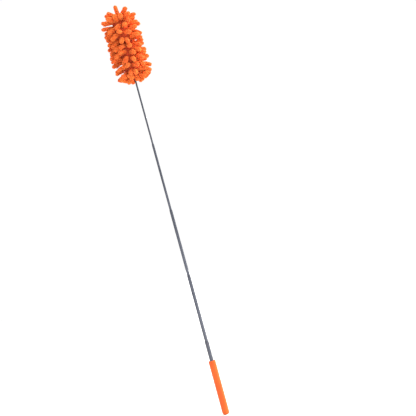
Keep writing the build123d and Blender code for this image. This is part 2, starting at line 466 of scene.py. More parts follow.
@dataclass(frozen=True)
class KnitCloth:
    """Fine warp knit. Columns of small loops, read from the cloth's own run in metres."""

    dark: str = "BC3E18"
    light: str = "DC5828"
    loop_width: float = 1.1 * MM
    loop_height: float = 0.9 * MM
    loop_depth: float = 0.25 * MM

    def make(self) -> bpy.types.Material:
        """Builds the material."""
        material, tree = new_material("warp_knit_backing")
        run = add_node(tree, "ShaderNodeUVMap", uv_map="run").outputs["UV"]
        columns, courses = (
            add_node(
                tree,
                "ShaderNodeTexWave",
                {"Vector": run, "Scale": tau / 20 / size, "Distortion": 0.6, "Detail": 1.0},
                bands_direction=axis,
            ).outputs["Fac"]
            for axis, size in (("X", self.loop_width), ("Y", self.loop_height))
        )
        loops = add_node(tree, "ShaderNodeMath", {0: columns, 1: courses}, operation="MULTIPLY").outputs[0]
        surface = {"Roughness": 0.88, "Sheen Weight": 0.3, "Sheen Tint": linear(self.light)}
        two_tone(tree, loops, (self.dark, self.light), loops, self.loop_depth, surface)
        return material


@dataclass(frozen=True)
class OpenFoam:
    """Open-cell polyurethane foam. Small pores, matt and slightly yellowed."""

    light: str = "EBDFC6"
    dark: str = "B9A57E"
    pore: float = 1.1 * MM
    pore_depth: float = 0.3 * MM

    def make(self) -> bpy.types.Material:
        """Builds the material."""
        material, tree = new_material("open_cell_foam")
        place = object_place(tree, (1, 1, 1))
        cells = add_node(tree, "ShaderNodeTexVoronoi", {"Vector": place, "Scale": 1 / self.pore})
        pores = add_node(
            tree,
            "ShaderNodeMapRange",
            {"Value": cells.outputs["Distance"], "From Min": 0.1, "From Max": 0.55},
        ).outputs[0]
        two_tone(tree, pores, (self.dark, self.light), pores, self.pore_depth, {"Roughness": 0.95})
        return material


@dataclass(frozen=True)
class CoveredElastic:
    """Elastic core under a braided thread cover. The cover's threads slant round it."""

    dark: str = "9E3210"
    light: str = "D2562A"
    thread: float = 0.5 * MM
    thread_depth: float = 0.12 * MM

    def make(self) -> bpy.types.Material:
        """Builds the material."""
        material, tree = new_material("covered_elastic")
        threads = add_node(
            tree,
            "ShaderNodeTexNoise",
            {"Vector": object_place(tree, (1, 1, 2.5)), "Scale": 1 / self.thread, "Detail": 2.0},
        ).outputs["Fac"]
        tone = add_node(tree, "ShaderNodeMapRange", {"Value": threads} | MIDDLE)
        tones = (self.dark, self.light)
        two_tone(tree, tone.outputs[0], tones, threads, self.thread_depth, {"Roughness": 0.8})
        return material


# ---------------------------------------------------------------------------------------------------
# Geometry Nodes trees
# ---------------------------------------------------------------------------------------------------


def new_growth(name: str, inputs: Iterable[tuple[str, str, Any]]) -> tuple[bpy.types.NodeTree, dict]:
    """Starts a Geometry Nodes tree with named inputs.

    Args:
        name: The tree's name.
        inputs: (name, socket type, default) of each input after the geometry.

    Returns:
        The tree, and its input outputs by name.
    """
    tree = bpy.data.node_groups.new(name, "GeometryNodeTree")
    tree.interface.new_socket("Geometry", in_out="INPUT", socket_type="NodeSocketGeometry")
    for label, kind, default in inputs:
        socket = tree.interface.new_socket(label, in_out="INPUT", socket_type=kind)
        if default is not None:
            socket.default_value = default
    tree.interface.new_socket("Geometry", in_out="OUTPUT", socket_type="NodeSocketGeometry")
    given = add_node(tree, "NodeGroupInput")
    return tree, {s.name: s for s in given.outputs}


def close_growth(
    tree: bpy.types.NodeTree, geometry: bpy.types.NodeSocket, material: bpy.types.NodeSocket
) -> None:
    """Ends a tree: instances realised, and the material set."""
    real = add_node(tree, "GeometryNodeRealizeInstances", {"Geometry": geometry}).outputs[0]
    dressed = add_node(tree, "GeometryNodeSetMaterial", {"Geometry": real, "Material": material})
    add_node(tree, "NodeGroupOutput", {"Geometry": dressed.outputs[0]})


def pile_growth() -> bpy.types.NodeTree:
    """Grows chenille noodles along centre lines: a lumpy body, then short blunt tufts all over it.

    Returns:
        The tree. Its input mesh is edges, with each point's thickness, length along and tint.
    """
    tree, given = new_growth(
        "chenille_pile",
        [
            ("Sides", "NodeSocketInt", 12),
            ("Yarn pitch", "NodeSocketFloat", 2.6 * MM),
            ("Yarn height", "NodeSocketFloat", 0.25 * MM),
            ("Lump size", "NodeSocketFloat", 2.2 * MM),
            ("Lump height", "NodeSocketFloat", 0.9 * MM),
            ("Tuft density", "NodeSocketFloat", 2.4e6),
            ("Tuft radius", "NodeSocketFloat", 0.38 * MM),
            ("Tuft length", "NodeSocketFloat", 1.2 * MM),
            ("Tuft shortest", "NodeSocketFloat", 0.55),
            ("Tuft longest", "NodeSocketFloat", 1.15),
            ("Tuft bulge", "NodeSocketFloat", 2.9),
            ("Tuft bluntness", "NodeSocketFloat", 0.7),
            ("Tuft lean", "NodeSocketFloat", 0.55),
            ("Seed", "NodeSocketInt", 1),
            ("Material", "NodeSocketMaterial", None),
        ],
    )
    # The body: a tube along each line, its girth read from the line's points.
    lines = add_node(tree, "GeometryNodeMeshToCurve", {"Mesh": given["Geometry"]}).outputs[0]
    ring = add_node(
        tree, "GeometryNodeCurvePrimitiveCircle", {"Radius": 1.0, "Resolution": given["Sides"]}, mode="RADIUS"
    )
    stored = (
        add_node(tree, "GeometryNodeInputNamedAttribute", {"Name": name}, data_type="FLOAT")
        for name in ("thickness", "run")
    )
    girth, run = (node.outputs["Attribute"] for node in stored)
    body = add_node(
        tree,
        "GeometryNodeCurveToMesh",
        {"Curve": lines, "Profile Curve": ring.outputs["Curve"], "Scale": girth, "Fill Caps": True},
    )
    # Ridges where the yarn is twisted, and lumps where the pile bunches, push the body's faces out.
    turn = add_node(tree, "ShaderNodeMath", {0: run, 1: given["Yarn pitch"]}, operation="DIVIDE").outputs[0]
    angle = add_node(tree, "ShaderNodeMath", {0: turn, 1: tau}, operation="MULTIPLY").outputs[0]
    wave = add_node(tree, "ShaderNodeMath", {0: angle}, operation="SINE").outputs[0]
    ridge = add_node(tree, "ShaderNodeMath", {0: wave, 1: given["Yarn height"]}, operation="MULTIPLY")
    fine = add_node(tree, "ShaderNodeMath", {0: 1.0, 1: given["Lump size"]}, operation="DIVIDE").outputs[0]
    place = add_node(tree, "GeometryNodeInputPosition").outputs["Position"]
    lumps = add_node(tree, "ShaderNodeTexNoise", {"Vector": place, "Scale": fine, "Detail": 2.0})
    centred = add_node(tree, "ShaderNodeMath", {0: lumps.outputs["Fac"], 1: 0.5}, operation="SUBTRACT")
    swell = add_node(
        tree,
        "ShaderNodeMath",
        {0: centred.outputs[0], 1: given["Lump height"], 2: ridge.outputs[0]},
        operation="MULTIPLY_ADD",
    )
    normal = add_node(tree, "GeometryNodeInputNormal").outputs["Normal"]
    offset = add_node(tree, "ShaderNodeVectorMath", {0: normal, "Scale": swell.outputs[0]}, operation="SCALE")
    lumpy = add_node(
        tree,
        "GeometryNodeSetPosition",
        {"Geometry": body.outputs["Mesh"], "Offset": offset.outputs["Vector"]},
    )
    smooth = add_node(tree, "GeometryNodeSetShadeSmooth", {"Geometry": lumpy.outputs[0]}).outputs[0]
    spots = add_node(
        tree,
        "GeometryNodeDistributePointsOnFaces",
        {"Mesh": smooth, "Density": given["Tuft density"], "Seed": given["Seed"]},
        distribute_method="RANDOM",
    )
    # One tuft: a unit cone, swollen halfway up and drawn out a little, with its height kept as "tip", which
    # places the painted highlight on its upper end.
    cone = add_node(
        tree,
        "GeometryNodeMeshCone",
        {"Vertices": 4, "Side Segments": 2, "Radius Top": 0.0, "Radius Bottom": 1.0, "Depth": 1.0},
    )
    spot = add_node(tree, "GeometryNodeInputPosition").outputs["Position"]
    height = add_node(tree, "ShaderNodeSeparateXYZ", {"Vector": spot}).outputs["Z"]
    left = add_node(tree, "ShaderNodeMath", {0: 1.0, 1: height}, operation="SUBTRACT").outputs[0]
    middle = add_node(tree, "ShaderNodeMath", {0: left, 1: height}, operation="MULTIPLY").outputs[0]
    wide, tall = (
        add_node(tree, "ShaderNodeMath", {0: source, 1: given[name], 2: 1.0}, operation="MULTIPLY_ADD")
        for source, name in ((middle, "Tuft bulge"), (left, "Tuft bluntness"))
    )
    swollen = add_node(
        tree,
        "ShaderNodeCombineXYZ",
        {"X": wide.outputs[0], "Y": wide.outputs[0], "Z": tall.outputs[0]},
    ).outputs["Vector"]
    full = add_node(tree, "ShaderNodeVectorMath", {0: spot, 1: swollen}, operation="MULTIPLY")
    bullet = add_node(
        tree,
        "GeometryNodeSetPosition",
        {"Geometry": cone.outputs["Mesh"], "Position": full.outputs["Vector"]},
    )
    soft = add_node(tree, "GeometryNodeSetShadeSmooth", {"Geometry": bullet.outputs[0]}).outputs[0]
    tuft = add_node(
        tree,
        "GeometryNodeStoreNamedAttribute",
        {"Geometry": soft, "Name": "tip", "Value": height},
        data_type="FLOAT",
        domain="POINT",
    )
    # The tufts stand all over the body, each with its own length and lean.
    reach = add_node(
        tree,
        "FunctionNodeRandomValue",
        {"Min": given["Tuft shortest"], "Max": given["Tuft longest"], "Seed": given["Seed"]},
        data_type="FLOAT",
    )
    grown_by = add_node(
        tree,
        "ShaderNodeMath",
        {0: reach.outputs["Value"], 1: given["Tuft length"]},
        operation="MULTIPLY",
    )
    size = add_node(
        tree,
        "ShaderNodeCombineXYZ",
        {"X": given["Tuft radius"], "Y": given["Tuft radius"], "Z": grown_by.outputs[0]},
    )
    planted = add_node(
        tree,
        "GeometryNodeInstanceOnPoints",
        {
            "Points": spots.outputs["Points"],
            "Instance": tuft.outputs[0],
            "Rotation": spots.outputs["Rotation"],
            "Scale": size.outputs["Vector"],
        },
    )
    back = add_node(tree, "ShaderNodeMath", {0: given["Tuft lean"], 1: -1.0}, operation="MULTIPLY").outputs[0]
    lean = add_node(
        tree,
        "FunctionNodeRandomValue",
        {"Min": back, "Max": given["Tuft lean"], "Seed": given["Seed"]},
        data_type="FLOAT_VECTOR",
    )
    leant = add_node(
        tree,
        "GeometryNodeRotateInstances",
        {"Instances": planted.outputs["Instances"], "Rotation": lean.outputs["Value"]},
    )
    both = add_node(tree, "GeometryNodeJoinGeometry")
    for part in (smooth, leant.outputs["Instances"]):
        tree.links.new(part, both.inputs["Geometry"])
    close_growth(tree, both.outputs["Geometry"], given["Material"])
    return tree


def stitch_growth() -> bpy.types.NodeTree:
    """Sets slanted stitches at even steps along a path.

    Returns:
        The tree. Its input mesh is the path's edges.
    """
    tree, given = new_growth(
        "stitch_line",
        [
            ("Stitch step", "NodeSocketFloat", 2.0 * MM),
            ("Stitch length", "NodeSocketFloat", 1.5 * MM),
            ("Thread radius", "NodeSocketFloat", 0.2 * MM),
            ("Material", "NodeSocketMaterial", None),
        ],
    )
    path = add_node(tree, "GeometryNodeMeshToCurve", {"Mesh": given["Geometry"]}).outputs["Curve"]
    spots = add_node(
        tree, "GeometryNodeCurveToPoints", {"Curve": path, "Length": given["Stitch step"]}, mode="LENGTH"
    )
    stitch = add_node(tree, "GeometryNodeMeshUVSphere", {"Segments": 8, "Rings": 6, "Radius": 1.0})
    half = add_node(tree, "ShaderNodeMath", {0: given["Stitch length"], 1: 0.5}, operation="MULTIPLY")
    size = add_node(
        tree,
        "ShaderNodeCombineXYZ",
        {"X": given["Thread radius"], "Y": given["Thread radius"], "Z": half.outputs[0]},
    )
    sewn = add_node(
        tree,
        "GeometryNodeInstanceOnPoints",
        {
            "Points": spots.outputs["Points"],
            "Instance": stitch.outputs["Mesh"],
            "Rotation": spots.outputs["Rotation"],
            "Scale": size.outputs["Vector"],
        },
    )
    close_growth(tree, sewn.outputs["Instances"], given["Material"])
    return tree


# ---------------------------------------------------------------------------------------------------
# Handle and pole
# ---------------------------------------------------------------------------------------------------


@dataclass
class Grip:
    """The moulded sleeve that the hand holds, closed and rounded at its free end."""

    end_round: float = 3.6 * MM
    mouth_round: float = 0.9 * MM
    mouth_break: float = 0.3 * MM
    bore: float = 3.52 * MM
    floor: float = 2.0 * MM
    gate_radius: float = 0.9 * MM
    gate_depth: float = 0.3 * MM
    gate_wall: float = 0.1 * MM
    parting_height: float = 0.06 * MM
    parting_half_angle: float = radians(2.2)
    wall_steps: int = 13
    sides: int = 128

    def build(self) -> bpy.types.Object:
        """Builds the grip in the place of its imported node."""
        low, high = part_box("grip")
        radius, top = high.x, high.z
        straight = top - self.mouth_round - self.end_round
        outline = [
            (0.0, self.gate_depth),
            (self.gate_radius, self.gate_depth),
            (self.gate_radius + self.gate_wall, low.z),
        ]
        outline += arc((radius - self.end_round, low.z + self.end_round), self.end_round, -90, 0, 10)
        outline += [
            (radius, self.end_round + straight * step / self.wall_steps) for step in range(1, self.wall_steps)
        ]
        outline += arc((radius - self.mouth_round, top - self.mouth_round), self.mouth_round, 0, 90, 8)
        outline += [
            (self.bore + self.mouth_break, top),
            (self.bore, top - self.mouth_break),
            (self.bore, self.floor),
            (0.0, self.floor),
        ]

        def parting(angle: float, reach: float, height: float) -> float:
            """Raises the two faint lines where the mould's halves met."""
            off = min(angle % pi, pi - angle % pi)
            edge = max(0.0, 1 - off / self.parting_half_angle)
            outside = reach > self.bore + 0.5 * MM and height > self.end_round / 2
            return reach + self.parting_height * edge * outside

        mesh = lathe("grip_sleeve", outline, self.sides, closed=False, ripple=parting)
        piece = new_piece("grip_sleeve", mesh, SatinMoulding(Moulding.GRIP_VINYL).make())
        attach(piece, "handle")
        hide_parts("grip")
        return piece


@dataclass
class PoleTube:
    """One thin steel tube, rolled in at its mouth so that the next section can't pull through."""

    node: str
    body: str
    next_radius: Optional[float]
    wall: float = 0.25 * MM
    run_gap: float = 0.05 * MM
    mouth: float = 2.2 * MM
    taper: float = 0.9 * MM
    lip_round: float = 0.11 * MM
    sides: int = 64

    def build(self, steel: bpy.types.Material) -> bpy.types.Object:
        """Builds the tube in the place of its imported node.

        Args:
            steel: The finish of all the tubes.

        Returns:
            The piece.
        """
        low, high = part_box(self.node)
        radius = high.x
        inner = radius - self.wall
        lip = self.lip_round
        if self.next_radius is None:
            corners = [(inner, low.z, lip), (radius, low.z, lip), (radius, high.z, lip), (inner, high.z, lip)]
        else:
            neck_in = self.next_radius + self.run_gap
            neck_out = neck_in + self.wall
            shoulder = high.z - self.mouth
            neck = shoulder + self.taper
            soft = 0.35 * MM
            corners = [
                (inner, low.z, lip),
                (radius, low.z, lip),
                (radius, shoulder, soft),
                (neck_out, neck, soft),
                (neck_out, high.z, lip),
                (neck_in, high.z, lip),
                (neck_in, neck, soft),
                (inner, shoulder, soft),
            ]
        name = f"{self.node}_drawn"
        piece = new_piece(name, lathe(name, rounded(corners), self.sides), steel)
        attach(piece, self.body)
        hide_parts(self.node)
        return piece


@dataclass
class Pole:
    """The five tubes, and the small fittings inside them."""

    tubes: tuple[tuple[str, str, Optional[float]], ...] = (
        ("outer_tube", "handle", 3.0 * MM),
        ("tube_2", "section_2", 2.5 * MM),
        ("tube_3", "section_3", 2.0 * MM),
        ("tube_4", "section_4", 1.5 * MM),
        ("rod_5", "head", None),
    )
    sliding: tuple[int, ...] = (2, 3, 4, 5)

    def build(self) -> list[bpy.types.Object]:
        """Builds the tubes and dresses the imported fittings."""
        steel = DrawnMetal(Metal.TUBE_STEEL).make()
        brass = DrawnMetal(Metal.TURNED_BRASS, round_lines=True).make()
        bronze = DrawnMetal(Metal.SPRING_BRONZE, round_lines=True).make()
        pieces = [PoleTube(node, body, next_radius).build(steel) for node, body, next_radius in self.tubes]
        for section in self.sliding:
            for node, finish in (
                (f"end_bush_{section}", brass),
                (f"stop_ring_{section}", brass),
                (f"friction_spring_{section}", bronze),
            ):
                dress(node, finish)
        dress("foot_plug", SatinMoulding(Moulding.PLUG_NYLON).make())
        return pieces


def dress(node: str, finish: bpy.types.Material) -> None:
    """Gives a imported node's object another finish, with its mesh left as it is."""
    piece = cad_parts[node]
    for slot in piece.material_slots:
        slot.link = "OBJECT"
        slot.material = finish


# ---------------------------------------------------------------------------------------------------
# Head
# ---------------------------------------------------------------------------------------------------


@dataclass
class Cover:
    """The profile of the head's cloth cover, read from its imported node."""

    foot_round: float = 6.0 * MM
    thick: float = 0.9 * MM
    low: float = field(init=False)
    high: float = field(init=False)
    radius: float = field(init=False)

    def __post_init__(self) -> None:
        """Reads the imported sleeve."""
        low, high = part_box("backing_sleeve")
        self.low, self.high, self.radius = low.z, high.z, high.x

    @property
    def dome(self) -> float:
        """Height of the dome's centre."""
        return self.high - self.radius

    @property
    def foot(self) -> float:
        """Height of the centre of the rounded foot."""
        return self.low + self.foot_round

    def foot_place(self, angle: float) -> tuple[float, float]:
        """(radius, height) on the rounded foot, with the angle in degrees above the horizontal."""
        turn = radians(angle)
        return (
            self.radius - self.foot_round + self.foot_round * cos(turn),
            self.foot + self.foot_round * sin(turn),
        )

    def side_place(self, height: float) -> tuple[float, float, float]:
        """(radius, height, angle) on the side, where half of the dome's slope lifts the topmost fingers."""
        above = max(0.0, height - self.dome) / self.radius
        return (self.radius * sqrt(1 - above**2), height, degrees(asin(above)) / 2)

    def dome_place(self, angle: float) -> tuple[float, float]:
        """(radius, height) on the dome, with the angle in degrees above the horizontal."""
        turn = radians(angle)
        return (self.radius * cos(turn), self.dome + self.radius * sin(turn))


@dataclass
class Noodle:
    """One chenille finger: where it leaves the cloth, where it aims, and how big it is."""

    row: int
    root: np.ndarray
    aim: np.ndarray
    length: float
    thickness: float
    tint: float


@dataclass
class NoodleBed:
    """All the fingers: rows up the side and a crown on the dome, jostled until they lie beside each other.

    Angles are in degrees. A "share" is a part of a whole, from 0 to 1.
    """

    cover: Cover
    seed: int = 124
    # Where the fingers are sewn on.
    rows: int = 12
    phase: float = 19.0
    first: float = 10.0 * MM
    last: float = 3.2 * MM
    side_count: int = 8
    stagger: float = 0.2
    foot_angle: float = -35.0
    inner_angle: float = -66.0
    dome_angle: float = 26.0
    crown: tuple[tuple[float, float], ...] = tuple((50.0, k * 72.0) for k in range(5)) + ((86.0, 40.0),)
    # How big they are, and how they differ.
    length: float = 20.4 * MM
    inner_length: float = 11.0 * MM
    thickness: float = 2.95 * MM
    pile: float = 0.95 * MM
    length_range: tuple[float, float] = (0.9, 1.1)
    thickness_range: tuple[float, float] = (0.9, 1.16)
    foot_raise: float = -22.0
    usual_raise: float = -4.0
    raise_spread: float = 10.0
    turn_spread: float = 10.0
    root_turn_spread: float = 3.6
    root_height_spread: float = 0.9 * MM
    inner_spread: float = 0.35
    combed: float = 10.0
    # How they bend and hang.
    joints: int = 8
    rounds: int = 70
    curl: float = 0.075
    droop: tuple[float, float] = (0.05, 0.26)
    low_droop: float = 0.5
    hang: tuple[float, float, float] = (-0.2, 0.0, -0.98)
    spring_back: float = 0.22
    # How they make room for each other and for the rest.
    press_in: float = 0.5 * MM
    shove: float = 0.18
    tip_distance: float = 13.0 * MM
    tip_shove: float = 0.05
    tip_follow: float = 0.6
    partings: tuple[tuple[tuple[float, float], tuple[float, float]], ...] = (
        ((-16.5 * MM, 643.5 * MM), (-26.0 * MM, 639.5 * MM)),
        ((-15.5 * MM, 631.5 * MM), (-25.0 * MM, 626.0 * MM)),
    )
    parting_width: float = 6.0 * MM
    pole_room: float = 4.6 * MM
    firm: float = 0.7
    lowest: float = 605.5 * MM
    lowest_slope: float = 0.66
    lowest_middle: float = 8.0 * MM
    # How each one's thickness runs from root to tip.
    stem_steps: int = 17
    cap_steps: int = 6
    cap_end: float = 0.12
    root_girth: float = 0.94
    swelling: float = 0.08
    swollen_by: float = 0.3
    taper: float = 0.07
    taper_from: float = 0.45
    taper_run: float = 0.4
    noodles: list[Noodle] = field(default_factory=list)

    def plan(self) -> None:
        """Sets out every finger with its own small differences."""
        rng = np.random.default_rng(self.seed)
        pitch = (self.cover.dome - self.last - self.cover.low - self.first) / (self.side_count - 1)
        for row in range(self.rows):
            low = self.cover.low + self.first
            places = []
            if row % 2 == 0:
                places.append((*self.cover.foot_place(self.foot_angle), self.foot_raise, self.length))
                places.append((*self.cover.dome_place(self.dome_angle), self.dome_angle, self.length))
                count = self.side_count
            else:
                inner = self.cover.foot_place(self.inner_angle)
                places.append((*inner, self.inner_angle, self.inner_length))
                low -= pitch * self.stagger
                count = self.side_count + 1
            places += [(*self.cover.side_place(low + k * pitch), self.length) for k in range(count)]
            for place in places:
                self.noodles.append(self.vary(rng, row, self.phase + row * 360 / self.rows, *place))
        for angle, turn in self.crown:
            place = self.cover.dome_place(angle)
            self.noodles.append(self.vary(rng, self.rows, self.phase + turn, *place, angle, self.length))

    def vary(
        self,
        rng: np.random.Generator,
        row: int,
        azimuth: float,
        radius: float,
        height: float,
        angle: float,
        length: float,
    ) -> Noodle:
        """Gives one finger its place and its own lean, length, thickness and tint.

        Args:
            rng: The bed's random source.
            row: The row's number, or the number of rows for the crown.
            azimuth: Degrees round the pole.
            radius: Distance of the root from the pole.
            height: Height of the root.
            angle: Degrees above the horizontal.
            length: The finger's usual length.

        Returns:
            The finger.
        """
        tight = self.inner_spread if length < self.length else 1.0
        turn = radians(azimuth + rng.normal(0, self.root_turn_spread) * tight)
        out = np.array((cos(turn), sin(turn), 0.0))
        root = out * radius + np.array((0, 0, height + rng.normal(0, self.root_height_spread) * tight))
        turned = turn + radians(rng.normal(0, self.turn_spread)) * tight
        lifted = rng.normal(self.usual_raise, self.raise_spread) + self.combed * cos(turn)
        raised = radians(angle + lifted * tight)
        aim = np.array((cos(turned) * cos(raised), sin(turned) * cos(raised), sin(raised)))
        return Noodle(
            row=row,
            root=root,
            aim=aim,
            length=length * rng.uniform(*self.length_range),
            thickness=self.thickness * rng.uniform(*self.thickness_range),
            tint=float(rng.uniform(0.0, 1.0)),
        )

    def settle(self) -> np.ndarray:
        """Bends the fingers round each other, the core and the pole.

        Returns:
            The points along every finger, as fingers by points by axes.
        """
        rng = np.random.default_rng(self.seed + 1)
        count, steps = len(self.noodles), self.joints
        root = np.array([n.root for n in self.noodles])
        aim = np.array([n.aim for n in self.noodles])
        length = np.array([n.length for n in self.noodles])
        thick = np.array([n.thickness for n in self.noodles]) + self.pile
        along = np.linspace(0, 1, steps + 1)
        points = root[:, None] + aim[:, None] * (length[:, None] * along)[:, :, None]
        curl = rng.normal(0, 1, (count, 3))
        curl -= (curl * aim).sum(1)[:, None] * aim
        points += curl[:, None] * (self.curl * length[:, None] * along**2)[:, :, None]
        level = np.linalg.norm(aim[:, :2], axis=1)
        low = 1 - np.clip((root[:, 2] - self.cover.low) / (self.cover.high - self.cover.low), 0, 1)
        droop = (rng.uniform(*self.droop, count) + self.low_droop * low**2) * level * length
        points += np.array(self.hang) * (droop[:, None] * along**2)[:, :, None]
        rest = np.diff(points, axis=1)
        stride = length / steps
        owner = np.repeat(np.arange(count), steps)
        size = np.repeat(thick, steps)
        others = owner[:, None] != owner[None, :]
        near = np.where(others, size[:, None] + size[None, :] - self.press_in, 0.0)
        for _ in range(self.rounds):
            moved = self.crowding(points[:, 1:].reshape(-1, 3), near) * self.shove
            points[:, 1:] += moved.reshape(count, steps, 3) * along[1:, None]
            self.spread_tips(points)
            self.keep_clear(points, thick)
            self.part(points, thick)
            self.straighten(points, rest, stride)
        return points

    def straighten(self, points: np.ndarray, rest: np.ndarray, stride: np.ndarray) -> None:
        """Lets the fingers spring back towards their own bend, and keeps their length.

        Args:
            points: The fingers' points, changed in place.
            rest: The steps between the points of the unpressed fingers.
            stride: The length of one step of each finger.
        """
        for k in range(1, self.joints + 1):
            ahead = points[:, k - 1] + rest[:, k - 1]
            if k > 1:
                onward = points[:, k - 1] - points[:, k - 2] + rest[:, k - 1] - rest[:, k - 2]
                ahead = (ahead + points[:, k - 1] + onward) / 2
            points[:, k] += (ahead - points[:, k]) * self.spring_back
            run = points[:, k] - points[:, k - 1]
            run *= (stride / (np.linalg.norm(run, axis=1) + 1e-9))[:, None]
            points[:, k] = points[:, k - 1] + run

    @staticmethod
    def crowding(spots: np.ndarray, near: np.ndarray) -> np.ndarray:
        """Works out how spots push each other off.

        Args:
            spots: The places, one in each line.
            near: The distance that each pair should keep.

        Returns:
            What each spot should move by to be rid of its neighbours.
        """
        spots = spots - spots.mean(axis=0)
        square = (spots**2).sum(axis=1)
        far = np.sqrt(np.maximum(square[:, None] + square[None, :] - 2 * spots @ spots.T, 1e-12))
        push = np.maximum(near - far, 0.0) / far
        np.fill_diagonal(push, 0.0)
        return spots * push.sum(axis=1)[:, None] - push @ spots

    def spread_tips(self, points: np.ndarray) -> None:
        """Moves the free ends apart a little, so that they share the room round the head.

        Args:
            points: The fingers' points, changed in place.
        """
        tips = points[:, -1]
        moved = self.crowding(tips, np.full((len(tips), len(tips)), self.tip_distance)) * self.tip_shove
        points[:, -1] += moved
        points[:, -2] += moved * self.tip_follow

    def part(self, points: np.ndarray, thick: np.ndarray) -> None:
        """Parts the fingers along short slots, each of them open from front to back.

        Args:
            points: The fingers' points, changed in place.
            thick: Each finger's outer radius.
        """
        for start, end in self.partings:
            low, run = np.array(start), np.array(end) - np.array(start)
            side = points[:, 1:, ::2]
            share = np.clip((side - low) @ run / (run @ run), 0.0, 1.0)
            away = side - (low + share[:, :, None] * run)
            far = np.linalg.norm(away, axis=2) + 1e-9
            short = np.maximum(0.0, thick[:, None] + self.parting_width / 2 - far)
            side += away * (0.5 * short / far)[:, :, None]

    def keep_clear(self, points: np.ndarray, thick: np.ndarray) -> None:
        """Pushes points out of the cloth core, away from the pole below it, and up off the lowest reach.

        Args:
            points: The fingers' points, changed in place.
            thick: Each finger's outer radius.
        """
        tail = points[:, 3:]
        reach = np.linalg.norm(tail[:, :, :2], axis=2) + 1e-9
        height = tail[:, :, 2]
        beside = (height > self.cover.foot) & (height < self.cover.dome)
        least = np.where(beside, self.cover.radius + self.firm * thick[:, None], 0.0)
        least = np.where(height < self.cover.foot, self.pole_room + thick[:, None], least)
        scale = np.maximum(1.0, least / reach)
        tail[:, :, :2] *= scale[:, :, None]
        outward = np.maximum(0.0, reach - self.lowest_middle)
        least = self.lowest + self.firm * thick[:, None] + self.lowest_slope * outward
        tail[:, :, 2] = np.maximum(height, least)

    def girth(self, share: float) -> float:
        """Thickness at a share of a finger's length: it swells from the root, then tapers."""
        swollen = min(1.0, share / self.swollen_by)
        tapered = max(0.0, min(1.0, (share - self.taper_from) / self.taper_run))
        return self.root_girth + self.swelling * swollen - self.taper * tapered

    def line_mesh(self, row: int, points: np.ndarray) -> bpy.types.Mesh:
        """Makes one row's centre lines, with each point's thickness and run.

        Args:
            row: The row's number.
            points: The settled points of all the fingers.

        Returns:
            A mesh of edges.
        """
        verts: list[tuple[float, float, float]] = []
        edges: list[tuple[int, int]] = []
        facts: dict[str, list[float]] = {"thickness": [], "run": [], "along": [], "tint": []}
        for noodle, line in zip(self.noodles, points):
            if noodle.row != row:
                continue
            radius = noodle.thickness
            stem = noodle.length - radius
            stops = [stem * k / self.stem_steps for k in range(self.stem_steps)]
            stops += [stem + radius * sin(pi / 2 * k / self.cap_steps) for k in range(self.cap_steps + 1)]
            start = len(verts)
            for stop in stops:
                share = stop / noodle.length
                over = max(0.0, (stop - stem) / radius)
                cap = max(self.cap_end, sqrt(max(0.0, 1 - over * over)))
                verts.append(self.on_line(line, share))
                facts["thickness"].append(radius * self.girth(share) * cap)
                facts["run"].append(stop)
                # The share along each finger also places the painted shade towards its root.
                facts["along"].append(share)
                facts["tint"].append(noodle.tint)
            edges += [(start + k, start + k + 1) for k in range(len(stops) - 1)]
        mesh = bpy.data.meshes.new(f"row_lines_{row}")
        mesh.from_pydata(verts, edges, [])
        for name, values in facts.items():
            mesh.attributes.new(name, "FLOAT", "POINT").data.foreach_set("value", values)
        return mesh

    @staticmethod
    def on_line(line: np.ndarray, share: float) -> tuple[float, float, float]:
        """A point at a share of a line's length, on a smooth curve through its points."""
        last = len(line) - 1
        spot = min(share, 1.0) * last
        k = min(int(spot), last - 1)
        t = spot - k
        p1, p2 = line[k], line[k + 1]
        p0 = line[k - 1] if k > 0 else 2 * p1 - p2
        p3 = line[k + 2] if k + 2 <= last else 2 * p2 - p1
        bend, twist = 2 * p0 - 5 * p1 + 4 * p2 - p3, 3 * p1 - p0 - 3 * p2 + p3
        curve = (2 * p1 + (p2 - p0) * t + bend * t**2 + twist * t**3) / 2
        return tuple(float(x) for x in curve)


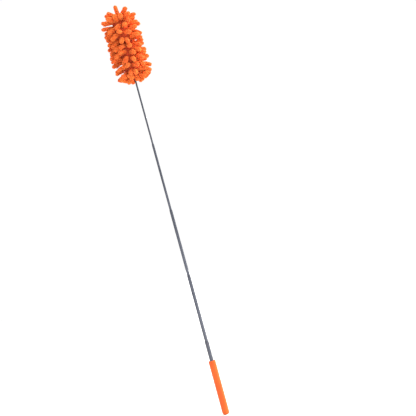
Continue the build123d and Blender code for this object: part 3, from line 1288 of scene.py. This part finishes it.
@dataclass
class ChenilleHead:
    """The whole head: fingers, cloth sleeve with its seam, hem elastic and foam."""

    cover: Cover = field(default_factory=Cover)
    mouth_gap: float = 0.05 * MM
    gathers: int = 22
    gather_depth: float = 0.035
    gather_reach: float = 7.0 * MM
    sleeve_sides: int = 132
    sheet_length: float = 125.0 * MM
    seam_turn: float = radians(34)
    seam_lift: float = 0.15 * MM
    hem_share: float = 0.96
    puckers: int = 30
    pucker_depth: float = 0.04
    hem_sides: int = 180
    foam_bore: float = 4.66 * MM
    foam_wire_bore: float = 1.31 * MM
    foam_gap: float = 0.1 * MM
    foam_dent: float = 0.25 * MM
    foam_step: float = 4.0 * MM
    foam_sides: int = 72

    def build(self) -> list[bpy.types.Object]:
        """Builds every piece of the head."""
        pieces = self.fingers()
        pieces += self.sleeve()
        pieces.append(self.hem())
        pieces.append(self.foam())
        socket = SatinMoulding(Moulding.SOCKET_PLASTIC).make()
        dress("head_socket", socket)
        dress("core_tip", socket)
        dress("core_wire", DrawnMetal(Metal.WIRE_STEEL).make())
        return pieces

    def fingers(self) -> list[bpy.types.Object]:
        """Grows the fingers, one piece for each row and one for the crown."""
        bed = NoodleBed(self.cover)
        bed.plan()
        points = bed.settle()
        tree = pile_growth()
        pile = ChenillePile().make()
        pieces = []
        for row in range(bed.rows + 1):
            label = "crown" if row == bed.rows else f"row_{row + 1:02d}"
            inputs = {"Seed": 100 + row, "Material": pile}
            piece = grown(f"pile_{label}", bed.line_mesh(row, points), tree, inputs)
            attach(piece, "head")
            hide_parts(f"chenille_{label}")
            pieces.append(piece)
        return pieces

    def sleeve(self) -> list[bpy.types.Object]:
        """Builds the cloth sleeve and the stitched seam up it."""
        cover = self.cover
        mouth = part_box("hem_elastic")[1].x + self.mouth_gap
        flat = cover.radius - cover.foot_round - mouth
        side = cover.dome - cover.foot
        outline = [(mouth + flat * k / 3, cover.low) for k in range(3)]
        outline += [cover.foot_place(-90 + 90 * k / 8) for k in range(9)]
        outline += [(cover.radius, cover.foot + side * k / 24) for k in range(1, 24)]
        outline += [cover.dome_place(90 * k / 12) for k in range(12)]
        outline.append((0.0, cover.high))

        def gathered(angle: float, radius: float, height: float) -> float:
            """Folds the cloth where the elastic draws it in."""
            near = max(0.0, 1 - (height - cover.low) / self.gather_reach)
            return radius * (1 + self.gather_depth * near * sin(self.gathers * angle))

        cloth = KnitCloth().make()
        mesh = lathe("sleeve_cloth", outline, self.sleeve_sides, closed=False, ripple=gathered)
        piece = new_piece("sleeve_cloth", mesh, cloth)
        skin = piece.modifiers.new("thickness", "SOLIDIFY")
        skin.thickness = cover.thick
        skin.offset = -1
        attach(piece, "head")
        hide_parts("backing_sleeve")
        reach = cover.radius + self.seam_lift
        across, deep = reach * cos(self.seam_turn), reach * sin(self.seam_turn)
        path = bpy.data.meshes.new("seam_path")
        spots = [(across, deep, cover.foot + side * k / 12) for k in range(13)]
        path.from_pydata(spots, [(k, k + 1) for k in range(12)], [])
        seam = grown("sleeve_seam", path, stitch_growth(), {"Material": cloth})
        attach(seam, "head")
        return [piece, seam]

    def hem(self) -> bpy.types.Object:
        """Builds the covered elastic that draws the sleeve in."""
        low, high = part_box("hem_elastic")
        minor = (high.z - low.z) / 2
        major = high.x - minor
        outline = arc((major, (high.z + low.z) / 2), minor * self.hem_share, 0, 360, 16)[:-1]

        def puckered(angle: float, radius: float, height: float) -> float:
            """Puckers the thread cover between its gathers."""
            return major + (radius - major) * (1 + self.pucker_depth * sin(self.puckers * angle))

        mesh = lathe("hem_cord", outline, self.hem_sides, ripple=puckered)
        piece = new_piece("hem_cord", mesh, CoveredElastic().make())
        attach(piece, "head")
        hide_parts("hem_elastic")
        return piece

    def foam(self) -> bpy.types.Object:
        """Builds the foam roll that fills the sleeve."""
        low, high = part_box("foam_core")
        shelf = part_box("head_socket")[1].z + self.foam_gap
        bore, wire = self.foam_bore, self.foam_wire_bore
        corners = [
            (bore, low.z, 0.4 * MM),
            (high.x, low.z, 4.5 * MM),
            (high.x, high.z, 0.8 * MM),
            (wire, high.z, 0.2 * MM),
            (wire, shelf, 0.2 * MM),
            (bore, shelf, 0.2 * MM),
        ]

        def dented(angle: float, radius: float, height: float) -> float:
            """Swells and dents the roll a little between its ends."""
            if radius < 0.9 * high.x:
                return radius
            return radius - self.foam_dent * (1 + sin(3 * angle + height * 90) * cos(height * 210))

        turned = rounded(corners)
        outline = []
        for (r0, z0), (r1, z1) in zip(turned, turned[1:] + turned[:1]):
            steps = max(1, int(sqrt((r1 - r0) ** 2 + (z1 - z0) ** 2) / self.foam_step))
            outline += [(r0 + (r1 - r0) * k / steps, z0 + (z1 - z0) * k / steps) for k in range(steps)]
        mesh = lathe("foam_roll", outline, self.foam_sides, ripple=dented)
        piece = new_piece("foam_roll", mesh, OpenFoam().make())
        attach(piece, "head")
        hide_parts("foam_core")
        return piece


# ---------------------------------------------------------------------------------------------------
# Studio
# ---------------------------------------------------------------------------------------------------


@dataclass(frozen=True)
class Lamp:
    """One soft lamp: its place, width and height, watts and colour, and whether metal shows it."""

    name: str
    place: tuple[float, float, float]
    size: tuple[float, float]
    power: float
    colour: tuple[float, float, float] = (1.0, 1.0, 1.0)
    mirrored: bool = True

    def hang(self, target: tuple[float, float, float]) -> None:
        """Hangs the lamp so that it faces the target."""
        light = bpy.data.lights.new(self.name, "AREA")
        light.shape = "RECTANGLE"
        light.size, light.size_y = self.size
        light.energy = self.power
        light.color = self.colour
        lamp = bpy.data.objects.new(self.name, light)
        bpy.context.scene.collection.objects.link(lamp)
        lamp.location = self.place
        towards = Vector(target) - Vector(self.place)
        lamp.rotation_euler = towards.to_track_quat("-Z", "Y").to_euler()
        lamp.visible_glossy = self.mirrored


@dataclass
class Studio:
    """A plain pale floor, soft light that is strongest from one side, and a camera level with the pole."""

    distance: float = 2.2
    lean: float = radians(15.25)
    aim: tuple[float, float] = (0.0646, 0.3604)
    width: float = 0.736
    sensor: float = 36.0
    floor_radius: float = 6.0
    floor_drop: float = 0.2 * MM
    backdrop: float = 1.02
    bright_side: tuple[float, float, float] = (0.8, 0.6, 0.0)
    bright: float = 1.2
    dim: float = 0.64
    target: tuple[float, float, float] = (0.0, 0.0, 0.45)
    lamps: tuple[Lamp, ...] = (
        Lamp("window", (1.5, 0.35, 1.2), (0.8, 1.4), 70.0, (1.0, 0.95, 0.87), mirrored=False),
        Lamp("top", (0.2, -1.2, 2.3), (1.2, 1.2), 18.0),
    )

    def build(self) -> None:
        """Builds the stage, the lights and the camera."""
        self.world()
        self.floor()
        for lamp in self.lamps:
            lamp.hang(self.target)
        self.camera()

    def world(self) -> None:
        """Lights the scene from all round, stronger from one side, in front of a white backdrop."""
        world = bpy.data.worlds.new("studio")
        bpy.context.scene.world = world
        world.use_nodes = True
        tree = world.node_tree
        tree.nodes.clear()
        place = add_node(tree, "ShaderNodeTexCoord").outputs["Generated"]
        facing = {0: place, 1: self.bright_side}
        towards = add_node(tree, "ShaderNodeVectorMath", facing, operation="DOT_PRODUCT")
        ramp = add_node(
            tree,
            "ShaderNodeMapRange",
            {
                "Value": towards.outputs["Value"],
                "From Min": -0.8,
                "From Max": 0.8,
                "To Min": self.dim,
                "To Max": self.bright,
            },
        )
        seen = add_node(tree, "ShaderNodeLightPath").outputs["Is Camera Ray"]
        strength = add_node(
            tree,
            "ShaderNodeMix",
            {0: seen, 2: ramp.outputs[0], 3: self.backdrop},
            data_type="FLOAT",
        )
        light = add_node(
            tree,
            "ShaderNodeBackground",
            {"Color": (1.0, 1.0, 1.0, 1.0), "Strength": strength.outputs[0]},
        )
        add_node(tree, "ShaderNodeOutputWorld", {"Surface": light.outputs["Background"]})

    def floor(self) -> None:
        """Lays the pale floor under the grip's end."""
        mesh = bpy.data.meshes.new("floor")
        form = bmesh.new()
        bmesh.ops.create_circle(form, cap_ends=True, segments=96, radius=self.floor_radius)
        bmesh.ops.translate(form, verts=form.verts, vec=(0, 0, -self.floor_drop))
        form.to_mesh(mesh)
        form.free()
        material, tree = new_material("pale_floor")
        place = object_place(tree, (1, 1, 1))
        cloud = add_node(tree, "ShaderNodeTexNoise", {"Vector": place, "Scale": 3.0, "Detail": 2.0})
        colour = add_node(
            tree,
            "ShaderNodeMix",
            {0: cloud.outputs["Fac"], 6: linear("F4F3F1"), 7: linear("F8F8F7")},
            data_type="RGBA",
        )
        away = add_node(tree, "ShaderNodeVectorMath", {0: place}, operation="LENGTH")
        # The floor glows more the farther it is from the grip, a painted glow that lifts it towards the white
        # backdrop.
        glow = add_node(
            tree,
            "ShaderNodeMapRange",
            {
                "Value": away.outputs["Value"],
                "From Min": 0.5,
                "From Max": 2.5,
                "To Min": 0.0,
                "To Max": 1.0,
            },
        )
        surface = {
            "Base Color": colour.outputs[2],
            "Roughness": 0.7,
            "Emission Color": (1.0, 1.0, 1.0, 1.0),
            "Emission Strength": glow.outputs[0],
        }
        close_material(tree, surface)
        new_piece("floor", mesh, material)

    def camera(self) -> None:
        """Sets the camera, rolled so that the pole leans to the left."""
        lens = bpy.data.cameras.new("camera")
        lens.sensor_width = self.sensor
        lens.lens = self.sensor * self.distance / self.width
        camera = bpy.data.objects.new("camera", lens)
        bpy.context.scene.collection.objects.link(camera)
        right = Vector((cos(self.lean), 0, -sin(self.lean)))
        up = Vector((sin(self.lean), 0, cos(self.lean)))
        back = Vector((0, -1, 0))
        turn = Matrix((right, up, back)).transposed()
        camera.matrix_world = Matrix.Translation((self.aim[0], -self.distance, self.aim[1])) @ turn.to_4x4()
        bpy.context.scene.camera = camera


# ---------------------------------------------------------------------------------------------------
# Main
# ---------------------------------------------------------------------------------------------------


def main() -> None:
    """Builds each sub-assembly in order and reports its pieces."""
    logging.basicConfig(level=logging.INFO, format="%(name)s: %(message)s")
    bpy.context.scene.view_settings.view_transform = "Standard"
    built: list[bpy.types.Object] = [Grip().build()]
    built += Pole().build()
    built += ChenilleHead().build()
    Studio().build()
    for piece in built:
        LOG.info("%s: %d faces", piece.name, len(piece.data.polygons))


if __name__ == "__main__":
    main()
